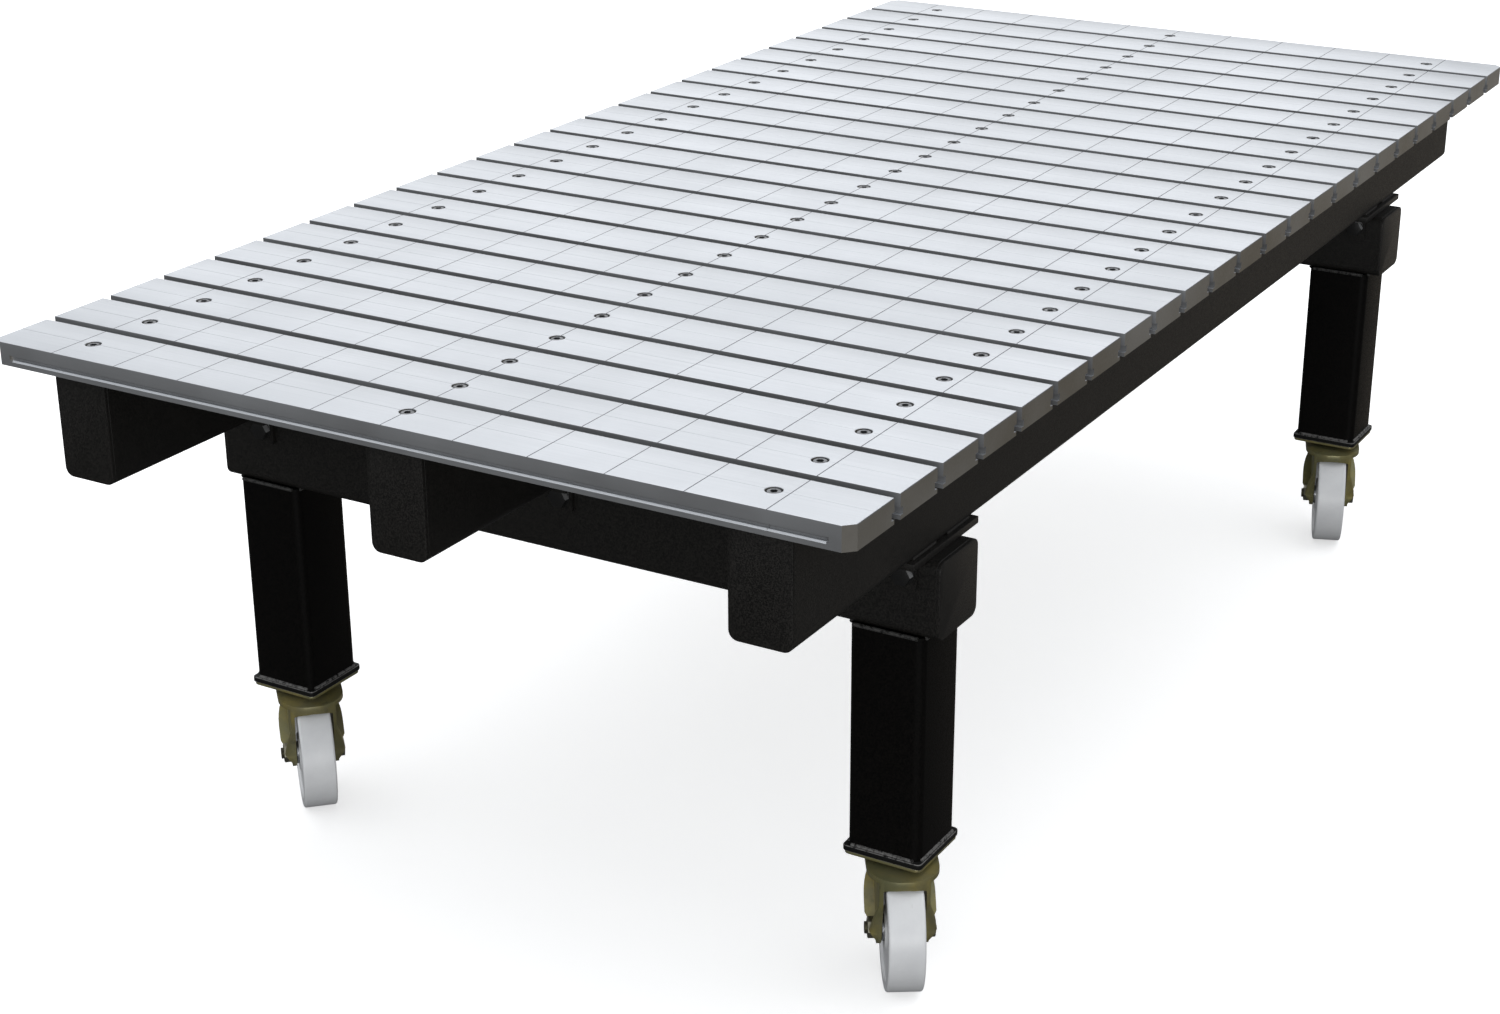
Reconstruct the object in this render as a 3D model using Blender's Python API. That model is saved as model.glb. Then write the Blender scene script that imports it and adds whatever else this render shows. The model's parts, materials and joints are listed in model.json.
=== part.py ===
"""Slatted T-slot welding table on a tube frame with four swivel casters.

Metres, +Z up. X runs along the table, Y across it, and the origin is on the
floor under the middle of the table. "Front" is the -X end, "left" is +Y.
"""
import math

import bmesh
import bpy
from mathutils import Vector

# ---- driving dimensions -------------------------------------------------
TABLE_LENGTH = 2.400          # along X
TABLE_WIDTH = 1.200           # along Y, the length of one slat
TABLE_HEIGHT = 0.768
FIT_GAP = 0.0003              # between pieces that touch

SLAT_COUNT = 24
SLAT_THICKNESS = 0.030
SLOT_NECK = 0.014             # open width between two slats
GROOVE_DEPTH = 0.006          # each slat's share of the T
GROOVE_HEIGHT = 0.009
GROOVE_LIP = 0.005            # metal under the T
EDGE_GROOVE_LIP = 0.008       # metal under the groove in the table's end faces
EDGE_GROOVE_HEIGHT = 0.006
EDGE_GROOVE_STOP = 0.027      # plain metal left at each end of the table's outer groove
SLAT_CHAMFER = 0.012          # at the table's four corners

SCREW_ROW = 0.480             # Y of the outer screw rows and long beams
HOLE_SIDES = 6
COUNTERBORE_RADIUS = 0.0100
COUNTERBORE_DEPTH = 0.0110
SCREW_HOLE_RADIUS = 0.0056

BEAM_WIDTH = 0.080
BEAM_HEIGHT = 0.140
BEAM_SETBACK = 0.020          # beam ends behind the slat edges
TUBE_WALL = 0.005
TUBE_CORNER = 0.012
CAP_THICKNESS = 0.005         # welded end plates
WELD_OVERLAP = 0.001          # how far welded pieces reach into each other

CROSS_BEAM_X = 0.820
CROSS_BEAM_SIZE = 0.100
CROSS_BEAM_LENGTH = 1.080

PLATE_LENGTH = 0.170          # crossing plates, along X
PLATE_WIDTH = 0.086
PLATE_THICKNESS = 0.010
LUG_WIDTH = 0.064             # tongue of a crossing plate against the cross beam's front
LUG_HEIGHT = 0.040
LUG_THICKNESS = 0.005
BOLT_OFFSET_Y = -0.015        # crossing bolt from the long beam's centre
BOLT_DROP = 0.018             # and below the top of the cross beam
BOLT_RADIUS = 0.0080
BOLT_HOLE_RADIUS = 0.0086
BOLT_HEX_RADIUS = 0.0138      # across the corners, 24 mm across the flats
BOLT_HEAD_HEIGHT = 0.010
BOLT_REACH = 0.010            # past the inside of the cross beam's wall

LEG_SIZE = 0.100
LEG_Y = 0.470
FOOT_SIZE = 0.108
FOOT_THICKNESS = 0.008

CASTER_HEIGHT = 0.180
CASTER_PLATE_SIZE = 0.106
CASTER_PLATE_THICKNESS = 0.004
TRAIL = 0.035                 # axle's distance from the swivel axis
RUNNING_GAP = 0.0003
ROUND_SIDES = 24              # wheels
SMALL_SIDES = 16              # turned pieces inside a caster
WHEEL_RADIUS = 0.080
WHEEL_WIDTH = 0.046
WHEEL_EDGE = 0.003
BUSH_RADIUS = 0.0170
AXLE_RADIUS = 0.0080
AXLE_HEX_RADIUS = 0.0138
AXLE_HEAD_HEIGHT = 0.010
AXLE_NUT_HEIGHT = 0.0115
RACE_RADIUS = 0.034
RACE_GAP = 0.0005             # ball race over the crown
KINGPIN_RADIUS = 0.0080
KINGPIN_NUT_RADIUS = 0.0125
KINGPIN_NUT_HEIGHT = 0.0040
CROWN_TOP = 0.168
CROWN_THICKNESS = 0.005
FORK_HALF_WIDTH = 0.045
FORK_INNER = 0.0265           # half the space between the arms
FORK_WEB = 0.005
FORK_RIM = 0.005
FORK_REACH = 0.079            # from the swivel axis to the arms' outer edge
FORK_SIDE_DROP = 0.013        # upright part of the arms' outer edge, below the crown
FORK_BACK_DROP = 0.008        # and of their inner edge
FORK_BACK_CHAMFER = (0.006, 0.010)
ARM_END_RADIUS = 0.020
LEAN_LOW = 0.070              # between these heights the arms' rims lean in
LEAN_HIGH = 0.098

# Side of the table in X and in Y, and the heading of each caster about Z in degrees:
# the direction from the wheel's axle to its swivel axis.
CASTERS = {
    "front_left": (-1, 1, 45.0),
    "front_right": (-1, -1, 32.5),
    "back_left": (1, 1, 30.0),
    "back_right": (1, -1, 20.5),
}

# ---- levels worked out from the driving dimensions ----------------------
SLAT_PITCH = TABLE_LENGTH / SLAT_COUNT
SLAT_BOTTOM = TABLE_HEIGHT - SLAT_THICKNESS
BEAM_TOP = SLAT_BOTTOM - FIT_GAP
BEAM_BOTTOM = SLAT_BOTTOM - BEAM_HEIGHT
PLATE_BOTTOM = BEAM_BOTTOM - PLATE_THICKNESS + FIT_GAP
CROSS_TOP = BEAM_BOTTOM - PLATE_THICKNESS
CROSS_BOTTOM = CROSS_TOP - CROSS_BEAM_SIZE
LEG_TOP = CROSS_BOTTOM - FIT_GAP
FOOT_BOTTOM = CASTER_HEIGHT + FIT_GAP
FOOT_TOP = FOOT_BOTTOM + FOOT_THICKNESS
CASTER_PLATE_BOTTOM = CASTER_HEIGHT - CASTER_PLATE_THICKNESS
CROWN_BOTTOM = CROWN_TOP - CROWN_THICKNESS
BEAM_ROWS = {"left": SCREW_ROW, "middle": 0.0, "right": -SCREW_ROW}
CROSS_BEAMS = {"front": -CROSS_BEAM_X, "back": CROSS_BEAM_X}
SLAT_CENTRES = [SLAT_PITCH * (k + 0.5) - TABLE_LENGTH / 2 for k in range(SLAT_COUNT)]


# ---- materials ----------------------------------------------------------
def make_material(name, colour, roughness, metallic):
    material = bpy.data.materials.new(name)
    material.use_nodes = True
    shader = material.node_tree.nodes["Principled BSDF"]
    shader.inputs["Base Color"].default_value = (*colour, 1.0)
    shader.inputs["Roughness"].default_value = roughness
    shader.inputs["Metallic"].default_value = metallic
    return material


def make_materials():
    return {
        "steel": make_material("planed_steel", (0.60, 0.62, 0.65), 0.38, 1.0),
        "paint": make_material("black_paint", (0.012, 0.012, 0.012), 0.50, 0.0),
        "zinc": make_material("bright_zinc", (0.55, 0.57, 0.60), 0.35, 1.0),
        "chromate": make_material("yellow_zinc", (0.30, 0.28, 0.13), 0.42, 0.9),
        "nylon": make_material("white_nylon", (0.72, 0.73, 0.74), 0.45, 0.0),
        "bush": make_material("bush_steel", (0.35, 0.36, 0.38), 0.40, 1.0),
    }


# ---- outlines and meshes ------------------------------------------------
def rounded_rect(width, height, radius, steps=3):
    points = []
    for sign_a, sign_b, start in ((1, 1, 0), (-1, 1, 90), (-1, -1, 180), (1, -1, 270)):
        centre_a = sign_a * (width / 2 - radius)
        centre_b = sign_b * (height / 2 - radius)
        for step in range(steps + 1):
            angle = math.radians(start + 90 * step / steps)
            points.append((centre_a + radius * math.cos(angle), centre_b + radius * math.sin(angle)))
    return points


def circle(radius, sides, centre=(0, 0), start=0.0):
    angles = [start + math.tau * k / sides for k in range(sides)]
    return [(centre[0] + radius * math.cos(a), centre[1] + radius * math.sin(a)) for a in angles]


def shift(outline, a, b):
    return [(point[0] + a, point[1] + b) for point in outline]


def place(axis, a, b, along):
    """A point from its two outline coordinates and its distance along the axis."""
    if axis == "X":
        return Vector((along, a, b))
    if axis == "Y":
        return Vector((a, along, b))
    return Vector((a, b, along))


def add_prism(bm, outline, low, high, axis):
    base = bm.faces.new([bm.verts.new(place(axis, a, b, low)) for a, b in outline])
    extruded = bmesh.ops.extrude_face_region(bm, geom=[base])
    moved = [item for item in extruded["geom"] if isinstance(item, bmesh.types.BMVert)]
    bmesh.ops.translate(bm, verts=moved, vec=place(axis, 0, 0, high - low))


def add_lathe(bm, profile, sides, axis, centre=(0, 0, 0)):
    """Turn (radius, height) points a full turn; both ends lie on the axis or form a ring."""
    along = place(axis, 0, 0, 1)
    # The first corner of a turned shape: towards +X about Z, down about Y, towards +Y about X.
    outward = {"Z": Vector((1, 0, 0)), "Y": Vector((0, 0, -1)), "X": Vector((0, 1, 0))}[axis]
    origin = Vector(centre)
    verts = [bm.verts.new(origin + outward * r + along * h) for r, h in profile]
    edges = [bm.edges.new(pair) for pair in zip(verts, verts[1:])]
    if profile[0][0] > 0:
        edges.append(bm.edges.new((verts[-1], verts[0])))
    bmesh.ops.spin(bm, geom=verts + edges, cent=origin, axis=along, dvec=(0, 0, 0),
                   angle=math.tau, steps=sides, use_merge=True, use_duplicate=False)
    bmesh.ops.remove_doubles(bm, verts=bm.verts, dist=1e-6)


def mesh_from(bm, name, smooth=False):
    bmesh.ops.recalc_face_normals(bm, faces=bm.faces)
    data = bpy.data.meshes.new(name)
    bm.to_mesh(data)
    bm.free()
    if smooth:
        data.shade_smooth()
        data.set_sharp_from_angle(angle=math.radians(40))
    return data


def prism(name, outline, low, high, axis):
    bm = bmesh.new()
    add_prism(bm, outline, low, high, axis)
    return mesh_from(bm, name)


def lathe(name, profile, sides, axis, centre=(0, 0, 0)):
    bm = bmesh.new()
    add_lathe(bm, profile, sides, axis, centre)
    return mesh_from(bm, name, smooth=True)


def rods(name, radius, low, high, axis, centres, sides=HOLE_SIDES):
    """Plain round bars, used to cut a row of holes at once."""
    bm = bmesh.new()
    for centre in centres:
        add_lathe(bm, [(0, low), (radius, low), (radius, high), (0, high)], sides, axis, centre)
    return mesh_from(bm, name)


def add_object(name, data, material=None):
    obj = bpy.data.objects.new(name, data)
    bpy.context.scene.collection.objects.link(obj)
    if material:
        data.materials.clear()
        data.materials.append(material)
    return obj


def combine(obj, operation, tool_data):
    """Apply an exact Boolean to an object and drop the tool."""
    tool = add_object("tool", tool_data)
    modifier = obj.modifiers.new("combine", "BOOLEAN")
    modifier.operation = operation
    modifier.solver = "EXACT"
    modifier.object = tool
    bpy.context.view_layer.update()
    evaluated = obj.evaluated_get(bpy.context.evaluated_depsgraph_get())
    result = bpy.data.meshes.new_from_object(evaluated)
    result.name = obj.name
    obj.modifiers.clear()
    obj.data = result
    bpy.data.objects.remove(tool)


def paint_object(obj, material):
    obj.data.materials.clear()
    obj.data.materials.append(material)


def take_mesh(obj):
    """The finished mesh of a temporary object."""
    data = obj.data
    bpy.data.objects.remove(obj)
    return data


# ---- worktop ------------------------------------------------------------
def slat_outline(left, right, left_groove, right_groove):
    """Cross-section in X and Z, with half a T-slot on each slotted side."""
    lip = SLAT_BOTTOM + GROOVE_LIP
    roof = lip + GROOVE_HEIGHT
    points = [(left, SLAT_BOTTOM), (right, SLAT_BOTTOM)]
    if right_groove:
        inner = right - GROOVE_DEPTH
        points += [(right, lip), (inner, lip), (inner, roof), (right, roof)]
    points += [(right, TABLE_HEIGHT), (left, TABLE_HEIGHT)]
    if left_groove:
        inner = left + GROOVE_DEPTH
        points += [(left, roof), (inner, roof), (inner, lip), (left, lip)]
    return points


def screw_holes(x):
    """Counterbored holes for the three screws of one slat."""
    seat = TABLE_HEIGHT - COUNTERBORE_DEPTH
    low = SLAT_BOTTOM - 0.005
    high = TABLE_HEIGHT + 0.005
    profile = [(0, low), (SCREW_HOLE_RADIUS, low), (SCREW_HOLE_RADIUS, seat),
               (COUNTERBORE_RADIUS, seat), (COUNTERBORE_RADIUS, high), (0, high)]
    bm = bmesh.new()
    for y in BEAM_ROWS.values():
        add_lathe(bm, profile, HOLE_SIDES, "Z", (x, y, 0))
    return mesh_from(bm, "screw_holes")


def edge_groove(face_x, inward):
    """Cutter for the groove in the table's end face, stopped with round ends."""
    half = TABLE_WIDTH / 2 - EDGE_GROOVE_STOP
    quarter = [math.radians(90 * step / 4) for step in range(5)]
    curve = [(GROOVE_DEPTH * math.sin(a), half - GROOVE_DEPTH * (1 - math.cos(a))) for a in quarter]
    curve = [(-0.005, half)] + curve
    outline = [(face_x + inward * depth, y) for depth, y in curve]
    outline += [(x, -y) for x, y in reversed(outline)]
    low = SLAT_BOTTOM + EDGE_GROOVE_LIP
    return prism("edge_groove", outline, low, low + EDGE_GROOVE_HEIGHT, "Z")


def chamfer_corners(data, face_x):
    """Chamfer the upright edges of the table's end face."""
    bm = bmesh.new()
    bm.from_mesh(data)
    upright = []
    for edge in bm.edges:
        first, second = (vert.co for vert in edge.verts)
        on_face = abs(first.x - face_x) < 1e-5 and abs(second.x - face_x) < 1e-5
        if on_face and abs(first.y - second.y) < 1e-5:
            upright.append(edge)
    bmesh.ops.bevel(bm, geom=upright, offset=SLAT_CHAMFER, offset_type="OFFSET", segments=1,
                    profile=0.5, affect="EDGES", material=-1)
    return mesh_from(bm, data.name)


def build_slats(material):
    half_width = (SLAT_PITCH - SLOT_NECK) / 2
    end_x = TABLE_LENGTH / 2
    for index, centre in enumerate(SLAT_CENTRES):
        name = f"slat_{index + 1:02d}"
        first = index == 0
        last = index == SLAT_COUNT - 1
        left = -end_x if first else centre - half_width
        right = end_x if last else centre + half_width
        outline = slat_outline(left, right, not first, not last)
        data = prism(name, outline, -TABLE_WIDTH / 2, TABLE_WIDTH / 2, "Y")
        if first or last:
            data = chamfer_corners(data, left if first else right)
        slat = add_object(name, data)
        combine(slat, "DIFFERENCE", screw_holes(centre))
        if first or last:
            face_x = left if first else right
            combine(slat, "DIFFERENCE", edge_groove(face_x, 1 if first else -1))
        paint_object(slat, material)


# ---- frame --------------------------------------------------------------
def closed_tube(name, width, height, half_length, axis, centre):
    """A rectangular tube with rounded corners and an end plate welded in each end."""
    outer = shift(rounded_rect(width, height, TUBE_CORNER), *centre)
    bore = rounded_rect(width - 2 * TUBE_WALL, height - 2 * TUBE_WALL, TUBE_CORNER - TUBE_WALL, 1)
    inside = half_length - CAP_THICKNESS
    tube = add_object(name, prism(name, outer, -half_length, half_length, axis))
    combine(tube, "DIFFERENCE", prism("bore", shift(bore, *centre), -inside, inside, axis))
    return tube


def weld_crossing_plate(beam, x, y):
    """A plate under a long beam, with a tongue down the front of the cross beam."""
    outline = shift(rounded_rect(PLATE_LENGTH, PLATE_WIDTH, 0.003, steps=1), x, y)
    plate_top = BEAM_BOTTOM + WELD_OVERLAP
    combine(beam, "UNION", prism("plate", outline, PLATE_BOTTOM, plate_top, "Z"))
    back = x - CROSS_BEAM_SIZE / 2 - FIT_GAP
    tongue = [(back - LUG_THICKNESS, y - LUG_WIDTH / 2), (back, y - LUG_WIDTH / 2),
              (back, y + LUG_WIDTH / 2), (back - LUG_THICKNESS, y + LUG_WIDTH / 2)]
    tongue_bottom = PLATE_BOTTOM - LUG_HEIGHT
    combine(beam, "UNION", prism("tongue", tongue, tongue_bottom, PLATE_BOTTOM + WELD_OVERLAP, "Z"))
    hole = rods("hole", BOLT_HOLE_RADIUS, back - 0.010, back + 0.003, "X", [bolt_centre(0, y)])
    combine(beam, "DIFFERENCE", hole)


def build_long_beams(material):
    height = BEAM_TOP - BEAM_BOTTOM
    middle = (BEAM_TOP + BEAM_BOTTOM) / 2
    for side, y in BEAM_ROWS.items():
        beam = closed_tube(f"long_beam_{side}", BEAM_WIDTH, height, TABLE_LENGTH / 2 - BEAM_SETBACK,
                           "X", (y, middle))
        centres = [(x, y, 0) for x in SLAT_CENTRES]
        low = BEAM_TOP - TUBE_WALL - 0.003
        screw_holes = rods("holes", SCREW_HOLE_RADIUS, low, BEAM_TOP + 0.003, "Z", centres)
        combine(beam, "DIFFERENCE", screw_holes)
        for x in CROSS_BEAMS.values():
            weld_crossing_plate(beam, x, y)
        paint_object(beam, material)


def bolt_centre(cross_x, row_y):
    return (cross_x, row_y + BOLT_OFFSET_Y, CROSS_TOP - BOLT_DROP)


def build_cross_beams(material):
    middle = (CROSS_TOP + CROSS_BOTTOM) / 2
    front = -CROSS_BEAM_SIZE / 2
    for end, x in CROSS_BEAMS.items():
        beam = closed_tube(f"cross_beam_{end}", CROSS_BEAM_SIZE, CROSS_BEAM_SIZE,
                           CROSS_BEAM_LENGTH / 2, "Y", (x, middle))
        centres = [bolt_centre(x, y) for y in BEAM_ROWS.values()]
        holes = rods("holes", BOLT_HOLE_RADIUS, front - 0.003, front + TUBE_WALL + 0.003, "X",
                     centres)
        combine(beam, "DIFFERENCE", holes)
        paint_object(beam, material)


def build_crossing_bolts(material):
    """Hex bolts through the plates' tongues, threaded into the cross beams' front walls."""
    seat = -CROSS_BEAM_SIZE / 2 - LUG_THICKNESS - 2 * FIT_GAP
    tip = -CROSS_BEAM_SIZE / 2 + TUBE_WALL + BOLT_REACH
    profile = [(0, seat - BOLT_HEAD_HEIGHT), (BOLT_HEX_RADIUS, seat - BOLT_HEAD_HEIGHT),
               (BOLT_HEX_RADIUS, seat), (BOLT_RADIUS, seat), (BOLT_RADIUS, tip), (0, tip)]
    for end, x in CROSS_BEAMS.items():
        for side, y in BEAM_ROWS.items():
            name = f"crossing_bolt_{end}_{side}"
            bm = bmesh.new()
            add_lathe(bm, profile, HOLE_SIDES, "X", bolt_centre(x, y))
            add_object(name, mesh_from(bm, name), material)


def build_legs(material):
    """Square legs, open at the top, each welded on its foot plate."""
    bore_size = LEG_SIZE - 2 * TUBE_WALL
    bore = rounded_rect(bore_size, bore_size, TUBE_CORNER - TUBE_WALL, 1)
    outer = rounded_rect(LEG_SIZE, LEG_SIZE, TUBE_CORNER)
    foot = rounded_rect(FOOT_SIZE, FOOT_SIZE, 0.006, steps=2)
    for corner, (sign_x, sign_y, _heading) in CASTERS.items():
        name = f"leg_{corner}"
        centre = (sign_x * CROSS_BEAM_X, sign_y * LEG_Y)
        leg = add_object(name, prism(name, shift(foot, *centre), FOOT_BOTTOM, FOOT_TOP, "Z"))
        tube = prism("tube", shift(outer, *centre), FOOT_TOP - WELD_OVERLAP, LEG_TOP, "Z")
        combine(leg, "UNION", tube)
        combine(leg, "DIFFERENCE", prism("bore", shift(bore, *centre), FOOT_TOP, LEG_TOP + 0.01, "Z"))
        paint_object(leg, material)


# ---- casters: local +X points from the swivel axis to the axle -----------
def caster_plate_mesh():
    """Top plate, ball race, kingpin and its nut, riveted into one piece."""
    race_bottom = CROWN_TOP + RACE_GAP
    nut_top = CROWN_BOTTOM - RUNNING_GAP
    nut_bottom = nut_top - KINGPIN_NUT_HEIGHT
    inside_plate = CASTER_PLATE_BOTTOM + CASTER_PLATE_THICKNESS / 2
    profile = [(0, nut_bottom), (KINGPIN_NUT_RADIUS, nut_bottom), (KINGPIN_NUT_RADIUS, nut_top),
               (KINGPIN_RADIUS, nut_top), (KINGPIN_RADIUS, race_bottom), (RACE_RADIUS, race_bottom),
               (RACE_RADIUS, inside_plate), (0, inside_plate)]
    outline = rounded_rect(CASTER_PLATE_SIZE, CASTER_PLATE_SIZE, 0.008, steps=2)
    plate = add_object("plate", prism("plate", outline, CASTER_PLATE_BOTTOM, CASTER_HEIGHT, "Z"))
    combine(plate, "UNION", lathe("race", profile, ROUND_SIDES, "Z"))
    return take_mesh(plate)


def arm_profile(inset, top):
    """Side view of the fork in X and Z, narrowing from the crown to a round end at the axle."""
    reach = FORK_REACH - inset
    back = -FORK_HALF_WIDTH + inset
    end_radius = ARM_END_RADIUS - inset
    points = [(back, top), (reach, top), (reach, CROWN_BOTTOM - FORK_SIDE_DROP)]
    for step in range(9):
        angle = math.radians(15 - 215 * step / 8)
        points.append((TRAIL + end_radius * math.cos(angle),
                       WHEEL_RADIUS + end_radius * math.sin(angle)))
    back_end = CROWN_BOTTOM - FORK_BACK_DROP
    points.append((back + FORK_BACK_CHAMFER[0], back_end - FORK_BACK_CHAMFER[1]))
    points.append((back, back_end))
    return points


def fork_mesh():
    """Pressed fork: a rounded crown over two webbed arms with a rim round each."""
    turn = [math.radians(-90 + 22.5 * step) for step in range(9)]
    stadium = [(TRAIL + FORK_HALF_WIDTH * math.cos(a), FORK_HALF_WIDTH * math.sin(a)) for a in turn]
    stadium += [(-FORK_HALF_WIDTH * math.cos(a), -FORK_HALF_WIDTH * math.sin(a)) for a in turn]
    web = FORK_INNER + FORK_WEB
    far = 0.2
    fork = add_object("fork", prism("fork", stadium, 0.040, CROWN_TOP, "Z"))
    combine(fork, "INTERSECT", prism("sides", arm_profile(0, CROWN_TOP + 0.01), -far, far, "Y"))
    tunnel = [(-far, -FORK_INNER), (far, -FORK_INNER), (far, FORK_INNER), (-far, FORK_INNER)]
    combine(fork, "DIFFERENCE", prism("tunnel", tunnel, 0.0, CROWN_BOTTOM, "Z"))
    pocket = arm_profile(FORK_RIM, CROWN_BOTTOM)
    combine(fork, "DIFFERENCE", prism("pocket", pocket, web, far, "Y"))
    combine(fork, "DIFFERENCE", prism("pocket", pocket, -far, -web, "Y"))
    # Rims lean in towards the lower end of each arm.
    for sign in (-1, 1):
        below = LEAN_LOW - ARM_END_RADIUS * 2
        lean = [(web + 0.0008, LEAN_LOW), (FORK_HALF_WIDTH + FORK_RIM, LEAN_HIGH), (far, LEAN_HIGH),
                (far, below), (web + 0.0008, below)]
        outline = [(sign * y, z) for y, z in lean]
        combine(fork, "DIFFERENCE", prism("lean", outline, -far, far, "X"))
    pin_bore = KINGPIN_RADIUS + RUNNING_GAP
    past = 0.010
    combine(fork, "DIFFERENCE", rods("bore", pin_bore, CROWN_BOTTOM - past, CROWN_TOP + past, "Z",
                                     [(0, 0, 0)], ROUND_SIDES))
    axle_bore = AXLE_RADIUS + RUNNING_GAP
    combine(fork, "DIFFERENCE", rods("bore", axle_bore, -far, far, "Y", [(TRAIL, 0, WHEEL_RADIUS)],
                                     SMALL_SIDES))
    return take_mesh(fork)


def wheel_mesh():
    half = WHEEL_WIDTH / 2
    bore = BUSH_RADIUS + FIT_GAP
    soft = WHEEL_EDGE * (1 - math.sqrt(0.5))
    side = [(bore, half), (WHEEL_RADIUS - WHEEL_EDGE, half), (WHEEL_RADIUS - soft, half - soft),
            (WHEEL_RADIUS, half - WHEEL_EDGE)]
    return lathe("wheel", side + [(r, -y) for r, y in reversed(side)], ROUND_SIDES, "Y")


def bush_mesh():
    half = FORK_INNER - 0.0005
    bore = AXLE_RADIUS + RUNNING_GAP
    profile = [(bore, half), (BUSH_RADIUS, half), (BUSH_RADIUS, -half), (bore, -half)]
    return lathe("bush", profile, ROUND_SIDES, "Y")


def axle_mesh():
    """Hex bolt through both arms, its nut on the -Y side."""
    seat = FORK_INNER + FORK_WEB + FIT_GAP
    head_end = seat + AXLE_HEAD_HEIGHT
    nut_end = -seat - AXLE_NUT_HEIGHT
    tip = nut_end - 0.003
    profile = [(0, tip), (AXLE_RADIUS, tip), (AXLE_RADIUS, seat + 0.004), (0, seat + 0.004)]
    bolt = add_object("bolt", lathe("shank", profile, SMALL_SIDES, "Y"))
    hexagon = circle(AXLE_HEX_RADIUS, 6)
    combine(bolt, "UNION", prism("head", hexagon, seat, head_end, "Y"))
    combine(bolt, "UNION", prism("nut", hexagon, nut_end, -seat, "Y"))
    return take_mesh(bolt)


def build_casters(materials):
    pieces = {
        "caster_plate": (caster_plate_mesh(), materials["chromate"]),
        "fork": (fork_mesh(), materials["chromate"]),
        "wheel": (wheel_mesh(), materials["nylon"]),
        "bush": (bush_mesh(), materials["bush"]),
        "axle": (axle_mesh(), materials["zinc"]),
    }
    for data, material in pieces.values():
        data.materials.clear()
        data.materials.append(material)
    for corner, (sign_x, sign_y, heading) in CASTERS.items():
        swivel = Vector((sign_x * CROSS_BEAM_X, sign_y * LEG_Y, 0))
        turn = math.radians(heading + 180)
        axle = swivel + Vector((TRAIL * math.cos(turn), TRAIL * math.sin(turn), WHEEL_RADIUS))
        for kind, (data, _material) in pieces.items():
            obj = add_object(f"{kind}_{corner}", data)
            obj.location = swivel if kind in ("caster_plate", "fork") else axle
            if kind != "caster_plate":
                obj.rotation_euler.z = turn


def main():
    for obj in list(bpy.data.objects):
        bpy.data.objects.remove(obj)
    materials = make_materials()
    build_slats(materials["steel"])
    build_long_beams(materials["paint"])
    build_cross_beams(materials["paint"])
    build_crossing_bolts(materials["zinc"])
    build_legs(materials["paint"])
    build_casters(materials)


main()
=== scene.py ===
# Finished surfaces and fittings of a slatted welding table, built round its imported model.
import json
import math
import bmesh
import bpy
from mathutils import Matrix, Vector


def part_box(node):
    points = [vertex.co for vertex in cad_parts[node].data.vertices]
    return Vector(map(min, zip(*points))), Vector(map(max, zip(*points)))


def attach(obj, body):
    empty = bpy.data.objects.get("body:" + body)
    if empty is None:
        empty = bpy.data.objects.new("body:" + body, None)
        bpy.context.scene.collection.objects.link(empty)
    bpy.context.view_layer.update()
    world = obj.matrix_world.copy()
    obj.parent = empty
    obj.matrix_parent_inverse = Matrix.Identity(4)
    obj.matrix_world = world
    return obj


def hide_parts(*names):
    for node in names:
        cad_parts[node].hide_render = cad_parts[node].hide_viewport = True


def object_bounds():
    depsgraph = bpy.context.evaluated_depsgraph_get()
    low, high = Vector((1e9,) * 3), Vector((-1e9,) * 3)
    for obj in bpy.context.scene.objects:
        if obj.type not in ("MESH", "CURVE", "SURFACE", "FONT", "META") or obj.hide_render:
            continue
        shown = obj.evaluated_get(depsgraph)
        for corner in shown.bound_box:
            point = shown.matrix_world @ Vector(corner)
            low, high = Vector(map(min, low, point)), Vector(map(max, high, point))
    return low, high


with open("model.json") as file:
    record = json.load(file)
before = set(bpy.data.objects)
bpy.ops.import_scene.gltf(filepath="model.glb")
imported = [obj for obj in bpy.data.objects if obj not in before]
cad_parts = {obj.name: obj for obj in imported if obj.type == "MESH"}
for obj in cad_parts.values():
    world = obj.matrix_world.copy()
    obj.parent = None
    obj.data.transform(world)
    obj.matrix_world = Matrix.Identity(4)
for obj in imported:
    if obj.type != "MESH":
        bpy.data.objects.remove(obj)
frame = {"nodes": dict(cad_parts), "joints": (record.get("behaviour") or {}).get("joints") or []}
cadLow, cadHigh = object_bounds()
corners = ("front_left", "front_right", "back_left", "back_right")
beamSides = ("left", "middle", "right")
fitGap = 0.0003


# Mesh tools

def bevelEdges(bm, edges, width, segments=3):
    bmesh.ops.bevel(bm, geom=edges, offset=width, offset_type="OFFSET", segments=segments,
                    profile=0.5, affect="EDGES", material=-1, clamp_overlap=True)


def edgesAlong(verts, axis):
    # edges between these vertices that run along X (0), Y (1) or Z (2)
    members = set(verts)
    found = []
    for edge in {e for v in verts for e in v.link_edges}:
        a, b = edge.verts
        step = b.co - a.co
        others = [abs(step[k]) for k in range(3) if k != axis]
        if a in members and b in members and max(others) < 1e-6:
            found.append(edge)
    return found


def levelEdges(bm):
    return [edge for edge in bm.edges if abs(edge.verts[0].co.z - edge.verts[1].co.z) < 1e-6]


def addBox(bm, low, high):
    low = Vector(low)
    high = Vector(high)
    made = bmesh.ops.create_cube(bm, size=1)["verts"]
    bmesh.ops.scale(bm, vec=high - low, verts=made)
    bmesh.ops.translate(bm, vec=(low + high) / 2, verts=made)
    return made


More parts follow.
